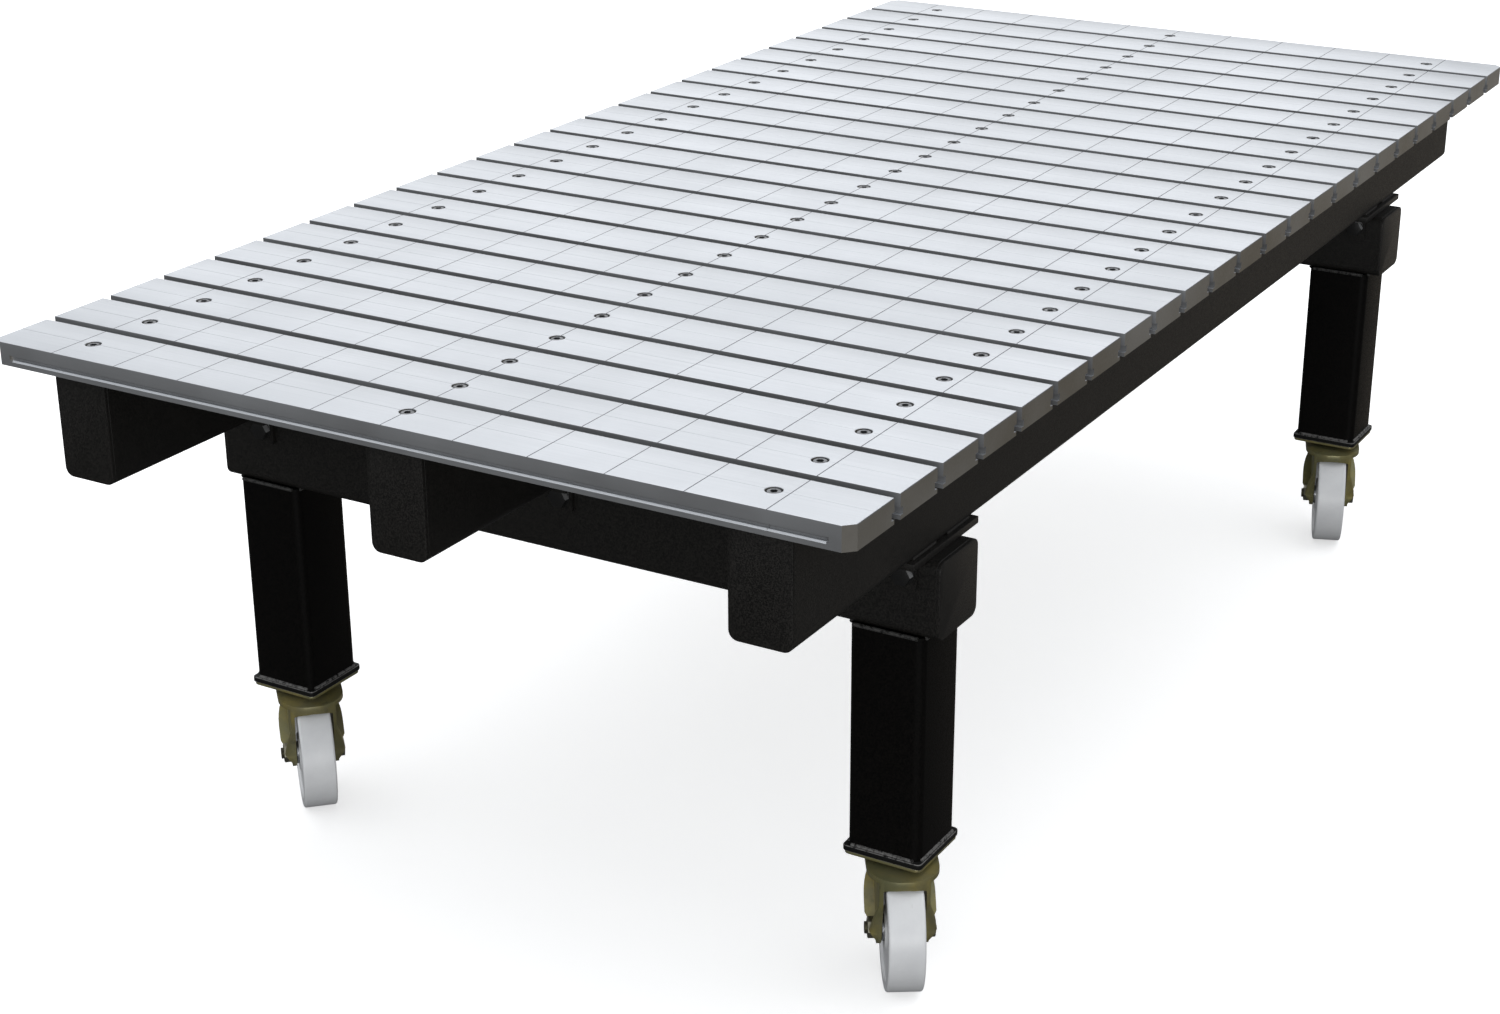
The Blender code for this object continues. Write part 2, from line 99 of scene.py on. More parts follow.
def addRoundBar(bm, profile, steps, along="Z", centre=(0, 0, 0)):
    # turns (radius, height) points a full turn about Z, then lays the bar along Y where asked
    verts = [bm.verts.new((radius, 0, height)) for radius, height in profile]
    edges = [bm.edges.new(pair) for pair in zip(verts, verts[1:])]
    if profile[0][0] > 0:
        edges.append(bm.edges.new((verts[-1], verts[0])))
    known = set(bm.verts) - set(verts)
    bmesh.ops.spin(bm, geom=verts + edges, cent=(0, 0, 0), axis=(0, 0, 1), dvec=(0, 0, 0),
                   angle=math.tau, steps=steps, use_merge=True, use_duplicate=False)
    made = [v for v in bm.verts if v not in known]
    bmesh.ops.remove_doubles(bm, verts=made, dist=1e-6)
    made = [v for v in bm.verts if v not in known]
    if along == "Y":
        bmesh.ops.rotate(bm, verts=made, cent=(0, 0, 0), matrix=Matrix.Rotation(-math.pi / 2, 3, "X"))
    bmesh.ops.translate(bm, verts=made, vec=centre)
    return made


def addPin(bm, radius, low, high, steps, along="Z", centre=(0, 0, 0)):
    return addRoundBar(bm, [(0, low), (radius, low), (radius, high), (0, high)], steps, along, centre)


def extruded(bm, face):
    # the new vertices and the new face
    grown = bmesh.ops.extrude_face_region(bm, geom=[face])["geom"]
    verts = [item for item in grown if isinstance(item, bmesh.types.BMVert)]
    return verts, [item for item in grown if isinstance(item, bmesh.types.BMFace)][0]


def mirroredProfile(side):
    # the outer half of a turned profile and its mirror image
    return side + [(radius, -height) for radius, height in reversed(side)]


def addSlab(bm, outline, low, high, axis="Z"):
    # extrudes a closed outline of (a, b) points along Z, or along Y or X with a = x or y and b = z
    turn = {"Z": lambda a, b, t: (a, b, t), "Y": lambda a, b, t: (a, t, b),
            "X": lambda a, b, t: (t, a, b)}[axis]
    base = bm.faces.new([bm.verts.new(turn(a, b, low)) for a, b in outline])
    top = extruded(bm, base)[0]
    bmesh.ops.translate(bm, verts=top, vec=turn(0, 0, high - low))
    return list(base.verts) + top


def arc(centreA, centreB, radius, startDeg, endDeg, steps):
    angles = [math.radians(startDeg + (endDeg - startDeg) * k / steps) for k in range(steps + 1)]
    return [(centreA + radius * math.cos(a), centreB + radius * math.sin(a)) for a in angles]


def toMesh(bm, name, recalc=True):
    if recalc:
        bmesh.ops.recalc_face_normals(bm, faces=bm.faces)
    data = bpy.data.meshes.new(name)
    bm.to_mesh(data)
    bm.free()
    return data


def slabMesh(outline, low, high, axis):
    bm = bmesh.new()
    addSlab(bm, outline, low, high, axis)
    return toMesh(bm, "slab")


def newObject(name, data):
    obj = bpy.data.objects.new(name, data)
    bpy.context.scene.collection.objects.link(obj)
    return obj


def combined(data, tool, operation="DIFFERENCE"):
    # the first mesh with the second one cut from it, or only what both share
    base = newObject("base", data)
    other = newObject("tool", tool)
    modifier = base.modifiers.new("cut", "BOOLEAN")
    modifier.operation = operation
    modifier.object = other
    result = appliedMesh(base)
    bpy.data.objects.remove(base)
    bpy.data.objects.remove(other)
    return result


def appliedMesh(obj):
    bpy.context.view_layer.update()
    return bpy.data.meshes.new_from_object(obj.evaluated_get(bpy.context.evaluated_depsgraph_get()))


def softened(data, width, segments=2, angle=35):
    # small bevels on every edge sharper than the angle
    obj = newObject("soft", data)
    modifier = obj.modifiers.new("edges", "BEVEL")
    modifier.width = width
    modifier.segments = segments
    modifier.limit_method = "ANGLE"
    modifier.angle_limit = math.radians(angle)
    modifier.use_clamp_overlap = True
    result = appliedMesh(obj)
    bpy.data.objects.remove(obj)
    return result


def addPiece(data, name, material, body, replaced=(), smoothDeg=32):
    data.name = name
    data.materials.clear()
    data.materials.append(material)
    data.shade_smooth()
    data.set_sharp_from_angle(angle=math.radians(smoothDeg))
    piece = newObject(name, data)
    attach(piece, body)
    if replaced:
        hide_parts(*replaced)
    return piece


def placedCopy(data, matrix):
    copy = data.copy()
    copy.transform(matrix)
    return copy


def mergedCopies(data, places):
    # one mesh with a copy of the given one at each place
    bm = bmesh.new()
    for place in places:
        copy = placedCopy(data, Matrix.Translation(place))
        bm.from_mesh(copy)
        bpy.data.meshes.remove(copy)
    return toMesh(bm, data.name, recalc=False)


# Shader groups

def newGroup(name, inputs, outputs):
    group = bpy.data.node_groups.new(name, "ShaderNodeTree")
    for label, value in inputs.items():
        socket = group.interface.new_socket(name=label, in_out="INPUT", socket_type="NodeSocketFloat")
        socket.default_value = value
    for label in outputs:
        group.interface.new_socket(name=label, in_out="OUTPUT", socket_type="NodeSocketFloat")
    return group, group.nodes.new("NodeGroupInput"), group.nodes.new("NodeGroupOutput")


def feed(tree, socket, value):
    # links another node's output, or sets a plain value
    if isinstance(value, bpy.types.NodeSocket):
        tree.links.new(value, socket)
    else:
        socket.default_value = value


def mathNode(tree, operation, *values):
    node = tree.nodes.new("ShaderNodeMath")
    node.operation = operation
    for index, value in enumerate(values):
        feed(tree, node.inputs[index], value)
    return node.outputs[0]


def rangeNode(tree, value, fromLow, fromHigh, toLow=0.0, toHigh=1.0):
    node = tree.nodes.new("ShaderNodeMapRange")
    node.interpolation_type = "SMOOTHSTEP"
    tree.links.new(value, node.inputs["Value"])
    limits = {"From Min": fromLow, "From Max": fromHigh, "To Min": toLow, "To Max": toHigh}
    for label, number in limits.items():
        feed(tree, node.inputs[label], number)
    return node.outputs["Result"]


def noiseNode(tree, scale, detail=3.0, roughness=0.5, stretch=(1, 1, 1)):
    place = tree.nodes.new("ShaderNodeTexCoord")
    mapping = tree.nodes.new("ShaderNodeMapping")
    mapping.inputs["Scale"].default_value = stretch
    noise = tree.nodes.new("ShaderNodeTexNoise")
    tree.links.new(place.outputs["Object"], mapping.inputs["Vector"])
    tree.links.new(mapping.outputs["Vector"], noise.inputs["Vector"])
    feed(tree, noise.inputs["Scale"], scale)
    noise.inputs["Detail"].default_value = detail
    noise.inputs["Roughness"].default_value = roughness
    return noise.outputs["Fac"]


def makePatchesGroup():
    # cloudy patches: a mask that covers more as Cover rises
    group, given, result = newGroup("patches", {"Scale": 4.0, "Cover": 0.5, "Softness": 0.15}, ["Mask"])
    cloud = noiseNode(group, given.outputs["Scale"], 4.0, 0.6)
    middle = mathNode(group, "SUBTRACT", 1.0, given.outputs["Cover"])
    low = mathNode(group, "SUBTRACT", middle, given.outputs["Softness"])
    high = mathNode(group, "ADD", middle, given.outputs["Softness"])
    group.links.new(rangeNode(group, cloud, low, high), result.inputs["Mask"])
    return group


def makeGrainGroup():
    # grinding marks along Y with finer scratches over them
    group, given, result = newGroup("grindingMarks", {"Scale": 1.0, "Depth": 0.5}, ["Tone", "Height"])
    coarse = noiseNode(group, given.outputs["Scale"], 4.0, 0.65, (260, 3.0, 260))
    fine = noiseNode(group, given.outputs["Scale"], 2.0, 0.5, (900, 9.0, 900))
    both = mathNode(group, "MULTIPLY_ADD", coarse, 0.6, mathNode(group, "MULTIPLY", fine, 0.4))
    group.links.new(both, result.inputs["Tone"])
    group.links.new(mathNode(group, "MULTIPLY", both, given.outputs["Depth"]), result.inputs["Height"])
    return group


def makeSpeckleGroup():
    # fine speckle of a sprayed or cast surface
    group, given, result = newGroup("speckle", {"Scale": 700.0, "Depth": 0.5}, ["Tone", "Height"])
    grain = noiseNode(group, given.outputs["Scale"], 2.0, 0.6)
    group.links.new(rangeNode(group, grain, 0.35, 0.68), result.inputs["Tone"])
    group.links.new(mathNode(group, "MULTIPLY", grain, given.outputs["Depth"]), result.inputs["Height"])
    return group


def makeScribeGroup(pitch, top):
    # thin grid lines on the top face, fainter down the slats' middles; Width is to one side of a line
    group, given, result = newGroup("scribedGrid", {"Width": 0.0006, "Faint": 0.5}, ["Mask"])
    place = group.nodes.new("ShaderNodeTexCoord")
    parts = group.nodes.new("ShaderNodeSeparateXYZ")
    group.links.new(place.outputs["Object"], parts.inputs[0])
    shifted = mathNode(group, "ADD", parts.outputs["X"], pitch / 2)
    masks = []
    for value in (parts.outputs["Y"], shifted):
        away = mathNode(group, "PINGPONG", value, pitch / 2)
        masks.append(mathNode(group, "LESS_THAN", away, given.outputs["Width"]))
    onTop = mathNode(group, "GREATER_THAN", parts.outputs["Z"], top)
    faint = mathNode(group, "MULTIPLY", masks[1], given.outputs["Faint"])
    lines = mathNode(group, "MULTIPLY", mathNode(group, "MAXIMUM", masks[0], faint), onTop)
    group.links.new(lines, result.inputs["Mask"])
    return group


patches = makePatchesGroup()
grindingMarks = makeGrainGroup()
speckle = makeSpeckleGroup()
scribedGrid = makeScribeGroup(pitch=0.1, top=cadHigh.z - 0.001)


# Materials

def newMaterial(name, metallic, roughness, specular=0.5):
    material = bpy.data.materials.new(name)
    material.use_nodes = True
    shader = material.node_tree.nodes["Principled BSDF"]
    shader.inputs["Metallic"].default_value = metallic
    shader.inputs["Roughness"].default_value = roughness
    shader.inputs["Specular IOR Level"].default_value = specular
    return material, material.node_tree, shader


def useGroup(tree, group, **values):
    node = tree.nodes.new("ShaderNodeGroup")
    node.node_tree = group
    for label, value in values.items():
        node.inputs[label].default_value = value
    return node


def mixColour(tree, factor, first, second):
    node = tree.nodes.new("ShaderNodeMix")
    node.data_type = "RGBA"
    tree.links.new(factor, node.inputs["Factor"])
    for socket, value in ((node.inputs[6], first), (node.inputs[7], second)):
        feed(tree, socket, (*value, 1.0) if isinstance(value, tuple) else value)
    return node.outputs[2]


def mixPart(tree, mask, amount, first, second):
    return mixColour(tree, mathNode(tree, "MULTIPLY", mask, amount), first, second)


def setRoughness(tree, shader, mask, atNone, atFull):
    tree.links.new(rangeNode(tree, mask, 0.0, 1.0, atNone, atFull), shader.inputs["Roughness"])


def facingParts(tree):
    # X, Y and Z of the direction a face points in
    place = tree.nodes.new("ShaderNodeTexCoord")
    parts = tree.nodes.new("ShaderNodeSeparateXYZ")
    tree.links.new(place.outputs["Normal"], parts.inputs[0])
    return parts.outputs


def addBump(tree, shader, height, strength, distance):
    bump = tree.nodes.new("ShaderNodeBump")
    bump.inputs["Strength"].default_value = strength
    bump.inputs["Distance"].default_value = distance
    tree.links.new(height, bump.inputs["Height"])
    tree.links.new(bump.outputs["Normal"], shader.inputs["Normal"])


def addSpeckle(tree, shader, scale, strength, distance):
    grain = useGroup(tree, speckle, Scale=scale, Depth=1.0)
    addBump(tree, shader, grain.outputs["Height"], strength, distance)
    return grain


# slatEndWarmLight is the ends' steel grey with a painted warm light in its brown tint
planedSteelLook = {"light": (0.66, 0.68, 0.715), "dull": (0.57, 0.59, 0.62), "scribe": (0.13, 0.135, 0.15),
                   "sawn": (0.150, 0.152, 0.155), "slatEndWarmLight": (0.135, 0.120, 0.094), "roughLow": 0.34,
                   "roughHigh": 0.46, "metallic": 0.75, "sideMetallic": 0.25, "centreLine": 0.2}


def makePlanedSteel(look):
    material, tree, shader = newMaterial("planedSteel", look["metallic"], look["roughLow"])
    cloud = useGroup(tree, patches, Scale=3.2, Cover=0.5, Softness=0.28)
    grain = useGroup(tree, grindingMarks, Scale=1.0, Depth=1.0)
    colour = mixColour(tree, cloud.outputs["Mask"], look["light"], look["dull"])
    tone = rangeNode(tree, grain.outputs["Tone"], 0.35, 0.7, 0.0, 0.35)
    colour = mixColour(tree, tone, colour, look["dull"])
    lines = useGroup(tree, scribedGrid, Width=0.0007, Faint=look["centreLine"])
    colour = mixColour(tree, lines.outputs["Mask"], colour, look["scribe"])
    # the slats' sides and slot walls are duller than the planed top, and their ends browner, which is painted
    # warm light on the end faces
    facing = facingParts(tree)
    side = rangeNode(tree, mathNode(tree, "ABSOLUTE", facing["Z"]), 0.45, 0.75, 1.0, 0.0)
    end = rangeNode(tree, mathNode(tree, "ABSOLUTE", facing["Y"]), 0.45, 0.75)
    wall = mixColour(tree, end, look["sawn"], look["slatEndWarmLight"])
    wall = mixPart(tree, cloud.outputs["Mask"], 0.25, wall, look["dull"])
    colour = mixColour(tree, side, colour, wall)
    metallic = rangeNode(tree, side, 0.0, 1.0, look["metallic"], look["sideMetallic"])
    tree.links.new(metallic, shader.inputs["Metallic"])
    tree.links.new(colour, shader.inputs["Base Color"])
    rough = rangeNode(tree, grain.outputs["Tone"], 0.3, 0.7, look["roughLow"], look["roughHigh"])
    tree.links.new(rough, shader.inputs["Roughness"])
    addBump(tree, shader, grain.outputs["Height"], 0.25, 0.0004)
    return material


beamPaintLook = {"deep": (0.0036, 0.0034, 0.0031), "speck": (0.0175, 0.0160, 0.0140),
                 "scuff": (0.034, 0.031, 0.027), "specular": 0.33}
# the legs have the beams' black paint, made darker still as painted shade under the table top
legPaintShadedLook = {"deep": (0.0006, 0.0006, 0.0006), "speck": (0.0042, 0.0034, 0.0028),
                "scuff": (0.008, 0.0066, 0.0055), "specular": 0.11}


def makeBlackPaint(name, look):
    material, tree, shader = newMaterial(name, 0.0, 0.5, look["specular"])
    grain = addSpeckle(tree, shader, 620.0, 0.35, 0.0005)
    scuffs = useGroup(tree, patches, Scale=9.0, Cover=0.32, Softness=0.1)
    colour = mixColour(tree, grain.outputs["Tone"], look["deep"], look["speck"])
    colour = mixPart(tree, scuffs.outputs["Mask"], 0.22, colour, look["scuff"])
    tree.links.new(colour, shader.inputs["Base Color"])
    setRoughness(tree, shader, grain.outputs["Tone"], 0.42, 0.62)
    return material


# bare is partly worn steel and partly a painted highlight on the foot plates' edges and beads
wornPaintHighlightLook = {"paint": (0.0035, 0.0034, 0.0033), "bare": (0.20, 0.195, 0.19), "scale": 190.0,
                 "cover": 0.58}


def makeWornPaintHighlight(look):
    # paint rubbed through on the edges and welds that the attribute marks, partly real wear and partly a
    # painted highlight of the light those edges and bead ripples catch
    material, tree, shader = newMaterial("wornPaintHighlight", 0.2, 0.5, 0.3)
    worn = useGroup(tree, patches, Scale=look["scale"], Cover=look["cover"], Softness=0.10)
    wearAndHighlight = tree.nodes.new("ShaderNodeAttribute")
    wearAndHighlight.attribute_name = "wearAndHighlight"
    bareAndHighlit = mathNode(tree, "MULTIPLY", worn.outputs["Mask"], wearAndHighlight.outputs["Fac"])
    tree.links.new(mixColour(tree, bareAndHighlit, look["paint"], look["bare"]), shader.inputs["Base Color"])
    setRoughness(tree, shader, bareAndHighlit, 0.6, 0.42)
    addSpeckle(tree, shader, 800.0, 0.4, 0.0006)
    return material


yellowZincLook = {"olive": (0.23, 0.21, 0.112), "gold": (0.33, 0.275, 0.09), "green": (0.15, 0.165, 0.08),
                  "dull": (0.082, 0.076, 0.050)}


def makeYellowZinc(look):
    material, tree, shader = newMaterial("yellowZinc", 0.45, 0.42)
    gold = useGroup(tree, patches, Scale=26.0, Cover=0.42, Softness=0.2)
    green = useGroup(tree, patches, Scale=14.0, Cover=0.45, Softness=0.2)
    dull = useGroup(tree, patches, Scale=48.0, Cover=0.34, Softness=0.12)
    colour = mixColour(tree, gold.outputs["Mask"], look["olive"], look["gold"])
    colour = mixPart(tree, green.outputs["Mask"], 0.6, colour, look["green"])
    colour = mixPart(tree, dull.outputs["Mask"], 0.5, colour, look["dull"])
    tree.links.new(colour, shader.inputs["Base Color"])
    setRoughness(tree, shader, dull.outputs["Mask"], 0.36, 0.58)
    addSpeckle(tree, shader, 520.0, 0.15, 0.0004)
    return material


nylonLook = {"clean": (0.85, 0.86, 0.87), "shade": (0.76, 0.77, 0.785), "grime": (0.46, 0.45, 0.43)}


def makeNylon(look):
    material, tree, shader = newMaterial("whiteNylon", 0.0, 0.42, 0.5)
    cloud = useGroup(tree, patches, Scale=18.0, Cover=0.5, Softness=0.25)
    grime = useGroup(tree, patches, Scale=70.0, Cover=0.27, Softness=0.08)
    colour = mixColour(tree, cloud.outputs["Mask"], look["clean"], look["shade"])
    colour = mixPart(tree, grime.outputs["Mask"], 0.35, colour, look["grime"])
    tree.links.new(colour, shader.inputs["Base Color"])
    setRoughness(tree, shader, grime.outputs["Mask"], 0.38, 0.6)
    addSpeckle(tree, shader, 420.0, 0.12, 0.0005)
    return material


def makeBareMetal(name, bright, dark, roughness, scale):
    material, tree, shader = newMaterial(name, 0.95, roughness)
    cloud = useGroup(tree, patches, Scale=scale, Cover=0.45, Softness=0.2)
    tree.links.new(mixColour(tree, cloud.outputs["Mask"], bright, dark), shader.inputs["Base Color"])
    setRoughness(tree, shader, cloud.outputs["Mask"], roughness - 0.06, roughness + 0.12)
    addSpeckle(tree, shader, 900.0, 0.12, 0.0003)
    return material


# bright is a painted highlight for the bolts' upward flats; paint is their black
boltWithPaintedHighlightLook = {"bright": (0.86, 0.87, 0.88), "paint": (0.012, 0.012, 0.012)}


def makeBoltWithPaintedHighlight(look):
    # black paint, with a painted highlight, in patches, on the flats that face upwards
    material, tree, shader = newMaterial("boltWithPaintedHighlight", 0.0, 0.4, 0.4)
    upwardHighlight = rangeNode(tree, facingParts(tree)["Z"], 0.35, 0.8)
    worn = useGroup(tree, patches, Scale=160.0, Cover=0.85, Softness=0.1)
    bare = mathNode(tree, "MULTIPLY", upwardHighlight, worn.outputs["Mask"])
    tree.links.new(mixColour(tree, bare, look["paint"], look["bright"]), shader.inputs["Base Color"])
    tree.links.new(rangeNode(tree, bare, 0.0, 1.0, 0.0, 0.6), shader.inputs["Metallic"])
    addSpeckle(tree, shader, 800.0, 0.2, 0.0004)
    return material


planedSteel = makePlanedSteel(planedSteelLook)
boltWithPaintedHighlight = makeBoltWithPaintedHighlight(boltWithPaintedHighlightLook)
beamPaint = makeBlackPaint("beamPaint", beamPaintLook)
# legs: a darker copy of the beam paint, as painted shade
legPaintShaded = makeBlackPaint("legPaintShaded", legPaintShadedLook)
wornPaintHighlight = makeWornPaintHighlight(wornPaintHighlightLook)
yellowZinc = makeYellowZinc(yellowZincLook)
whiteNylon = makeNylon(nylonLook)
agedZinc = makeBareMetal("agedZinc", (0.30, 0.285, 0.215), (0.14, 0.135, 0.105), 0.40, 70.0)
darkScrew = makeBareMetal("darkScrew", (0.20, 0.205, 0.215), (0.09, 0.09, 0.095), 0.38, 90.0)
# the ball race is near black as painted shade in the gap under the caster plate
raceInPaintedShade = makeBareMetal("raceInPaintedShade", (0.035, 0.033, 0.028), (0.012, 0.011, 0.010), 0.5, 80.0)
bushSteel = makeBareMetal("bushSteel", (0.42, 0.43, 0.45), (0.25, 0.26, 0.27), 0.38, 70.0)
print("materials done")


# Slats: each is a drawn section pushed along Y, with a shallow scribed line at each grid step

slatBar = {"edgeRound": 0.0006, "grooveDepth": 0.006, "grooveHeight": 0.009, "grooveLip": 0.005,
           "scribeWidth": 0.0009, "scribeDepth": 0.00035, "gridPitch": 0.1, "endBreak": 0.0006,
           "boreRadius": 0.0100, "boreDepth": 0.0110, "shankHole": 0.0056, "boreBreak": 0.0006,
           "cornerChamfer": 0.012, "edgeGrooveLip": 0.008, "edgeGrooveHeight": 0.006, "edgeGrooveStop": 0.027,
           "edgeGrooveEnd": 0.012, "lipChamfer": 0.002}
slatLow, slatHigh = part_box("slat_02")
topZ = slatHigh.z
slatNodes = sorted(name for name in frame["nodes"] if name.startswith("slat_"))
screwRows = [sum(corner.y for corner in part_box(f"long_beam_{side}")) / 2 for side in beamSides]


def slatCentre(low, high):
    # the end slats are half a slot wider on the outside, so their middle line keeps to the grid
    if low.x < cadLow.x + 0.001:
        return low.x + slatBar["gridPitch"] / 2
    if high.x > cadHigh.x - 0.001:
        return high.x - slatBar["gridPitch"] / 2
    return (low.x + high.x) / 2


def slatSection(left, right, middle, leftSlotted, rightSlotted):
    v = slatBar
    bottom = slatLow.z
    lip = bottom + v["grooveLip"]
    roof = lip + v["grooveHeight"]
    r = v["edgeRound"]
    half = v["scribeWidth"] / 2
    points = [(left, bottom), (right, bottom)]
    if rightSlotted:
        inner = right - v["grooveDepth"]
        points += [(right, lip), (inner, lip), (inner, roof), (right, roof)]
    points += arc(right - r, topZ - r, r, 0, 90, 3)
    points += [(middle + half, topZ), (middle, topZ - v["scribeDepth"]), (middle - half, topZ)]
    points += arc(left + r, topZ - r, r, 90, 180, 3)
    if leftSlotted:
        inner = left + v["grooveDepth"]
        points += [(left, roof), (inner, roof), (inner, lip), (left, lip)]
    return points


def slatStations(halfWidth):
    # (y, drop of the top face) along the slat
    v = slatBar
    stations = [(-halfWidth, v["endBreak"]), (-halfWidth + v["endBreak"], 0.0)]
    lines = int(halfWidth / v["gridPitch"] - 0.5)
    for k in range(-lines, lines + 1):
        y = k * v["gridPitch"]
        half = v["scribeWidth"] / 2
        stations += [(y - half, 0.0), (y, v["scribeDepth"]), (y + half, 0.0)]
    return stations + [(halfWidth - v["endBreak"], 0.0), (halfWidth, v["endBreak"])]


def drawnSlat(left, right, middle, leftSlotted, rightSlotted):
    section = slatSection(left, right, middle, leftSlotted, rightSlotted)
    stations = slatStations(slatHigh.y)
    bm = bmesh.new()
    face = bm.faces.new([bm.verts.new((x, stations[0][0], z)) for x, z in section])
    onTop = [abs(z - topZ) < 1e-6 for x, z in section]
    for vert, isTop in zip(face.verts, onTop):
        if isTop:
            vert.co.z = topZ - stations[0][1]
    # the order of a face's corners survives an extrusion, so the section keeps its place in it
    front = list(face.verts)
    for y, drop in stations[1:]:
        newVerts, face = extruded(bm, face)
        bmesh.ops.translate(bm, verts=newVerts, vec=(0, y - front[0].co.y, 0))
        partner = {}
        for old in front:
            for edge in old.link_edges:
                other = edge.other_vert(old)
                if other in newVerts:
                    partner[old] = other
        front = [partner[old] for old in front]
        for vert, isTop in zip(front, onTop):
            if isTop:
                vert.co.z = topZ - drop
    return toMesh(bm, "slat")


def boreCutter(x):
    v = slatBar
    seat = topZ - v["boreDepth"]
    past = 0.004
    profile = [(0, slatLow.z - past), (v["shankHole"], slatLow.z - past), (v["shankHole"], seat),
               (v["boreRadius"], seat), (v["boreRadius"], topZ - v["boreBreak"]),
               (v["boreRadius"] + v["boreBreak"] + past, topZ + past), (0, topZ + past)]
    bm = bmesh.new()
    for y in screwRows:
        addRoundBar(bm, profile, 48, "Z", (x, y, 0))
    return toMesh(bm, "bore")


def edgeGrooveCutter(faceX, inward):
    # a side cutter's groove in the table's end face, with run-out ends
    v = slatBar
    half = slatHigh.y - v["edgeGrooveStop"]
    radius = v["edgeGrooveEnd"]
    depth = v["grooveDepth"]
    low = slatLow.z + v["edgeGrooveLip"]
    past = 0.005
    angles = [math.radians(a) for a in range(0, 91, 10)]
    side = [(-past, half)] + [(depth * math.sin(a), half - radius * (1 - math.cos(a))) for a in angles]
    outline = [(faceX + inward * d, y) for d, y in side]
    outline += [(x, -y) for x, y in reversed(outline)]
    return slabMesh(outline, low, low + v["edgeGrooveHeight"], "Z")


def lipCutter(faceX, inward):
    # breaks the lower lip of that groove at 45 degrees, which catches the light
    v = slatBar
    c = v["lipChamfer"]
    past = 0.001
    level = slatLow.z + v["edgeGrooveLip"]
    reach = slatHigh.y - v["edgeGrooveStop"] - v["grooveDepth"] / 2
    outline = [(faceX + inward * (c + past), level + past), (faceX - inward * past, level + past),
               (faceX - inward * past, level - c - past)]
    return slabMesh(outline, -reach, reach, "Y")


def cornerCutter(faceX, inward, sideY):
    v = slatBar
    c = v["cornerChamfer"]
    sign = 1 if sideY > 0 else -1
    far = 0.01
    outline = [(faceX + inward * c, sideY), (faceX + inward * (c + far), sideY + sign * far),
               (faceX - inward * far, sideY + sign * far), (faceX - inward * far, sideY - sign * (c + far)),
               (faceX, sideY - sign * c)]
    return slabMesh(outline, slatLow.z - far, topZ + far, "Z")


def buildSlats():
    middle = slatCentre(slatLow, slatHigh)
    plain = combined(drawnSlat(slatLow.x, slatHigh.x, middle, True, True), boreCutter(middle))
    for node in slatNodes:
        low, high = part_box(node)
        first = node == slatNodes[0]
        last = node == slatNodes[-1]
        if first or last:
            inward = 1 if first else -1
            faceX = low.x if first else high.x
            middle = slatCentre(low, high)
            data = drawnSlat(low.x, high.x, middle, not first, not last)
            for cutter in (cornerCutter(faceX, inward, low.y), cornerCutter(faceX, inward, high.y),
                           edgeGrooveCutter(faceX, inward), lipCutter(faceX, inward), boreCutter(middle)):
                data = combined(data, cutter)
        else:
            data = placedCopy(plain, Matrix.Translation((low.x - slatLow.x, 0, 0)))
        number = node.removeprefix("slat_")
        addPiece(data, f"slatBar_{number}", planedSteel, "table", [node])


buildSlats()
print("slats done")


# Socket head screws down in the slats' counterbores

slatScrew = {"headRadius": 0.0082, "headHeight": 0.0096, "headRound": 0.0009, "faceRing": 0.0052,
             "socket": 0.0046, "socketDepth": 0.0050, "shankRadius": 0.0046, "tipBreak": 0.0008,
             "reach": 0.008}


def buildSlatScrews():
    v = slatScrew
    seat = topZ - slatBar["boreDepth"] + fitGap
    top = seat + v["headHeight"]
    tip = slatLow.z - v["reach"]
    r = v["headRound"]
    shank = v["shankRadius"]
    profile = [(0, tip), (shank - v["tipBreak"], tip), (shank, tip + v["tipBreak"]), (shank, seat),
               (v["headRadius"], seat)]
    profile += arc(v["headRadius"] - r, top - r, r, 0, 90, 3)
    profile += [(v["faceRing"], top), (0, top)]
    bm = bmesh.new()
    addRoundBar(bm, profile, 24)
    socket = bmesh.new()
    addSlab(socket, arc(0, 0, v["socket"], 0, 300, 5), top - v["socketDepth"], top + 0.002)
    screw = combined(toMesh(bm, "screw"), toMesh(socket, "socket"))
    places = [(slatCentre(*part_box(node)), y, 0) for node in slatNodes for y in screwRows]
    addPiece(mergedCopies(screw, places), "slatScrews", darkScrew, "table")


buildSlatScrews()
print("slat screws done")


# Frame: square tubes with end plates let in flush, crossing plates and weld beads

tube = {"corner": 0.012, "cornerSteps": 6, "endPlate": 0.005, "seamWidth": 0.0012, "seamDepth": 0.0005,
        "endBreak": 0.0012}
weldBead = {"radius": 0.0036, "legRadius": 0.0024, "pitch": 0.0036, "swell": 1.10}


